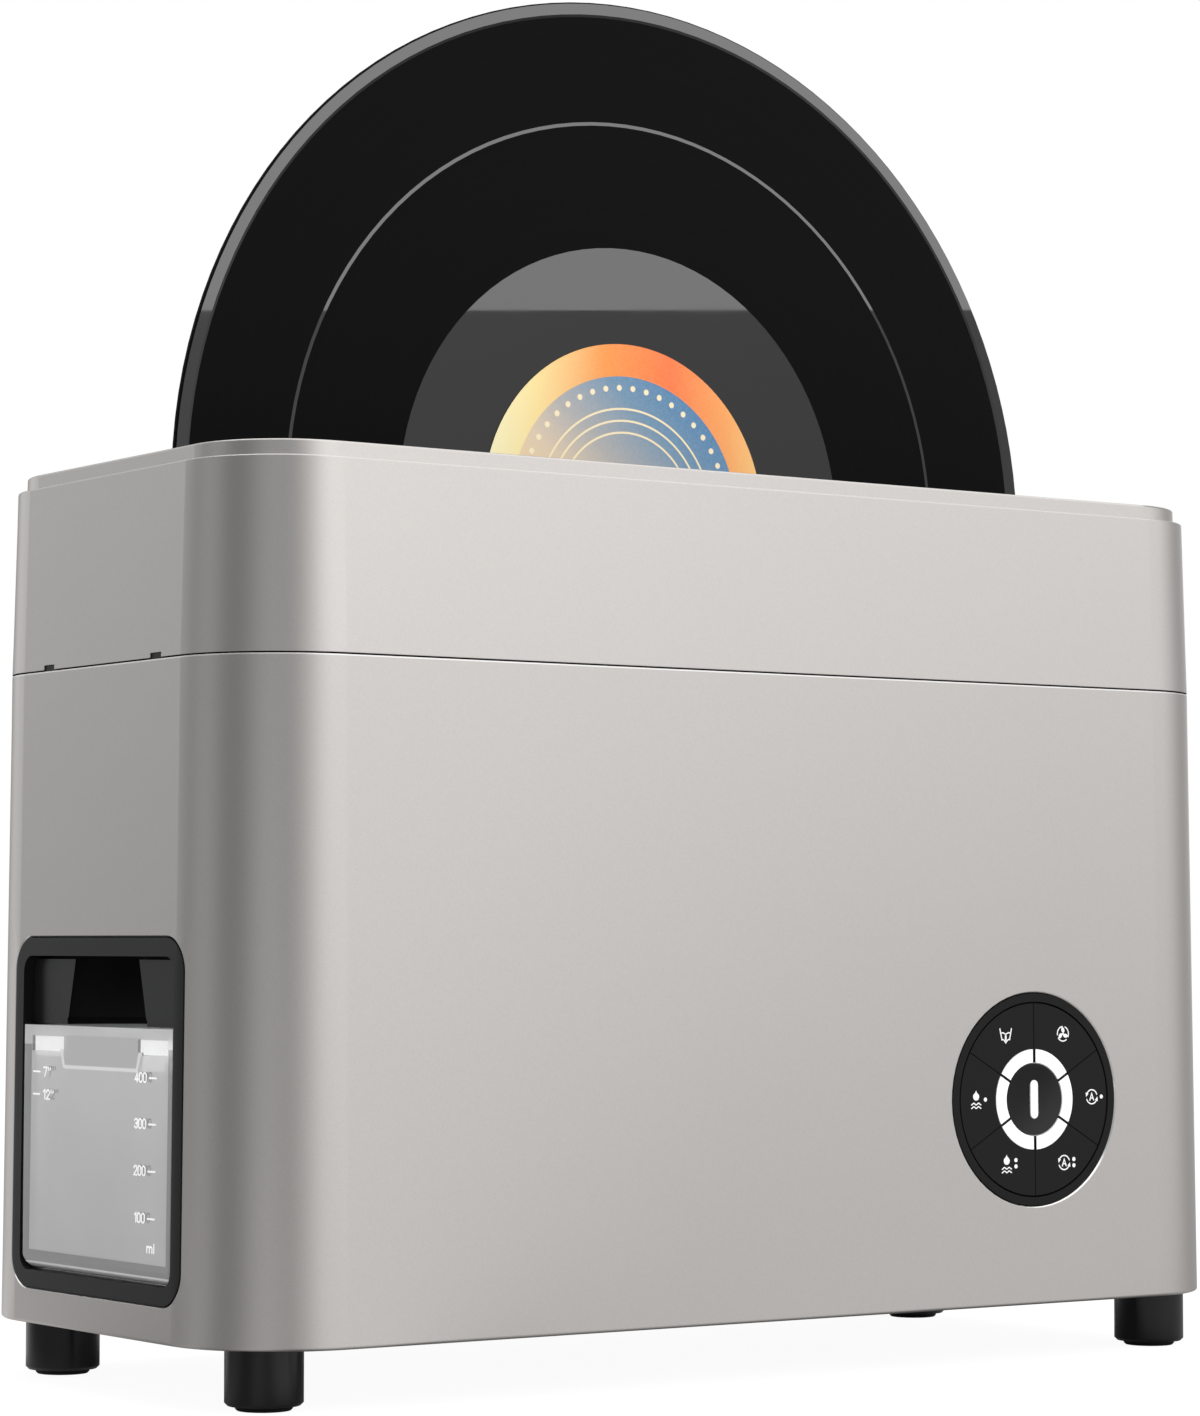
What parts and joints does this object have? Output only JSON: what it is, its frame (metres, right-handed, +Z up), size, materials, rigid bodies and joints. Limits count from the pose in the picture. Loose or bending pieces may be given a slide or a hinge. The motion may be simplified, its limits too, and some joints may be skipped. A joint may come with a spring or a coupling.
{
  "type": "record cleaning machine",
  "caption": "Ultrasonic record cleaner: drafted metallic housing on feet, record standing in a narrow bath, clear side tank, round key panel.",
  "frame": {"origin": "centre of the overall footprint, on the floor under the feet", "axes": "+X along the record slot to the right, -Y towards the front with the key panel, +Z up"},
  "size_m": [0.3457, 0.1554, 0.3967],
  "materials": {
    "body_paint": "fine satin metallic paint, warm silver",
    "black_plastic": "fine moulded texture",
    "gloss_black": "satin black key caps",
    "foot_black": "satin turned",
    "rubber": "soft",
    "steel": "brushed",
    "aluminium": "machined",
    "bush_plastic": "natural acetal",
    "brass_gear": "machined",
    "clear_plastic": "clear moulded",
    "sponge": "open foam",
    "hose_silicone": "translucent",
    "circuit_board": "solder mask",
    "cable_grey": "ribbed flat cable",
    "white_light": "diffusing light guide",
    "vinyl": "grooved vinyl",
    "label_paper": "coated printed paper"
  },
  "bodies": {
    "housing": {"lower_shell": "body_paint", "upper_shell": "body_paint", "base_plate": "black_plastic", "snap_clips": "black_plastic", "foot_front_left": "foot_black", "foot_rear_left": "foot_black", "foot_front_right": "foot_black", "foot_rear_right": "foot_black", "foot_pads": "rubber", "foot_screws": "steel", "base_screws": "steel", "chassis_plate": "black_plastic", "bath_trough": "steel", "transducers": "aluminium", "shaft_bushes": "bush_plastic", "motor_bracket": "steel", "drive_motor": "steel", "top_deck": "black_plastic", "guide_pins": "steel", "blower_case_front": "black_plastic", "blower_case_rear": "black_plastic", "air_duct_front": "black_plastic", "air_duct_rear": "black_plastic", "bay_frame": "black_plastic", "bay_liner": "black_plastic", "spout_elbow": "black_plastic", "drain_nipple": "steel", "suction_hose": "hose_silicone", "drain_pump": "black_plastic", "drain_hose": "hose_silicone", "main_board": "circuit_board", "driver_board": "circuit_board", "ribbon_cable": "cable_grey", "dc_jack": "black_plastic", "rear_grille": "black_plastic", "panel_bezel": "gloss_black", "panel_board": "circuit_board", "light_ring": "white_light"},
    "record": {"record_disc": "vinyl", "record_label": "label_paper"},
    "drive_axle": {"drive_shaft": "steel", "drive_roller": "rubber", "drive_gear": "bush_plastic"},
    "idler_axle": {"idler_shaft": "steel", "idler_roller": "rubber"},
    "guide_left": {"guide_roller_left": "rubber"},
    "guide_right": {"guide_roller_right": "rubber"},
    "motor_rotor": {"motor_pinion": "brass_gear"},
    "fan_front": {"blower_rotor_front": "black_plastic"},
    "fan_rear": {"blower_rotor_rear": "black_plastic"},
    "tank": {"tank_body": "clear_plastic", "tank_lid": "clear_plastic", "tank_filter": "sponge"},
    "button_start": {"key_start": "gloss_black"},
    "button_auto_short": {"key_auto_short": "gloss_black"},
    "button_dry": {"key_dry": "gloss_black"},
    "button_drain": {"key_drain": "gloss_black"},
    "button_wash_short": {"key_wash_short": "gloss_black"},
    "button_wash_long": {"key_wash_long": "gloss_black"},
    "button_auto_long": {"key_auto_long": "gloss_black"}
  },
  "joints": [
    {"name": "record_spin", "type": "hinge", "parent": "housing", "child": "record", "pos_m": [0.0013, 0, 0.2459], "axis": [0, 1, 0], "continuous": true},
    {"name": "drive_roller_spin", "type": "hinge", "parent": "housing", "child": "drive_axle", "pos_m": [0.12624, 0, 0.14106], "axis": [0, 1, 0], "continuous": true},
    {"name": "idler_roller_spin", "type": "hinge", "parent": "housing", "child": "idler_axle", "pos_m": [-0.12364, 0, 0.14106], "axis": [0, 1, 0], "continuous": true},
    {"name": "guide_left_spin", "type": "hinge", "parent": "housing", "child": "guide_left", "pos_m": [-0.15444, 0, 0.22953], "axis": [0, 1, 0], "continuous": true},
    {"name": "guide_right_spin", "type": "hinge", "parent": "housing", "child": "guide_right", "pos_m": [0.15704, 0, 0.22953], "axis": [0, 1, 0], "continuous": true},
    {"name": "motor_spin", "type": "hinge", "parent": "housing", "child": "motor_rotor", "pos_m": [0.10634, 0, 0.16097], "axis": [0, 1, 0], "continuous": true},
    {"name": "fan_front_spin", "type": "hinge", "parent": "housing", "child": "fan_front", "pos_m": [-0.1167, -0.0456, 0.2], "axis": [0, 0, 1], "continuous": true},
    {"name": "fan_rear_spin", "type": "hinge", "parent": "housing", "child": "fan_rear", "pos_m": [0.1193, 0.0456, 0.2], "axis": [0, 0, 1], "continuous": true},
    {"name": "tank_slide", "type": "slide", "parent": "housing", "child": "tank", "axis": [-1, 0, 0], "range_m": [0, 0.104]},
    {"name": "press_start", "type": "slide", "parent": "housing", "child": "button_start", "axis": [0, 1, 0], "range_m": [0, 0.0006], "stiffness_N_per_m": 600},
    {"name": "press_auto_short", "type": "slide", "parent": "housing", "child": "button_auto_short", "axis": [0, 1, 0], "range_m": [0, 0.0006], "stiffness_N_per_m": 600},
    {"name": "press_dry", "type": "slide", "parent": "housing", "child": "button_dry", "axis": [0, 1, 0], "range_m": [0, 0.0006], "stiffness_N_per_m": 600},
    {"name": "press_drain", "type": "slide", "parent": "housing", "child": "button_drain", "axis": [0, 1, 0], "range_m": [0, 0.0006], "stiffness_N_per_m": 600},
    {"name": "press_wash_short", "type": "slide", "parent": "housing", "child": "button_wash_short", "axis": [0, 1, 0], "range_m": [0, 0.0006], "stiffness_N_per_m": 600},
    {"name": "press_wash_long", "type": "slide", "parent": "housing", "child": "button_wash_long", "axis": [0, 1, 0], "range_m": [0, 0.0006], "stiffness_N_per_m": 600},
    {"name": "press_auto_long", "type": "slide", "parent": "housing", "child": "button_auto_long", "axis": [0, 1, 0], "range_m": [0, 0.0006], "stiffness_N_per_m": 600}
  ],
  "couplings": [
    {"joint": "drive_roller_spin", "follows": "record_spin", "ratio": -12.567},
    {"joint": "idler_roller_spin", "follows": "record_spin", "ratio": -12.567},
    {"joint": "guide_left_spin", "follows": "record_spin", "ratio": -27.418},
    {"joint": "guide_right_spin", "follows": "record_spin", "ratio": -27.418},
    {"joint": "motor_spin", "follows": "record_spin", "ratio": 31.417}
  ]
}
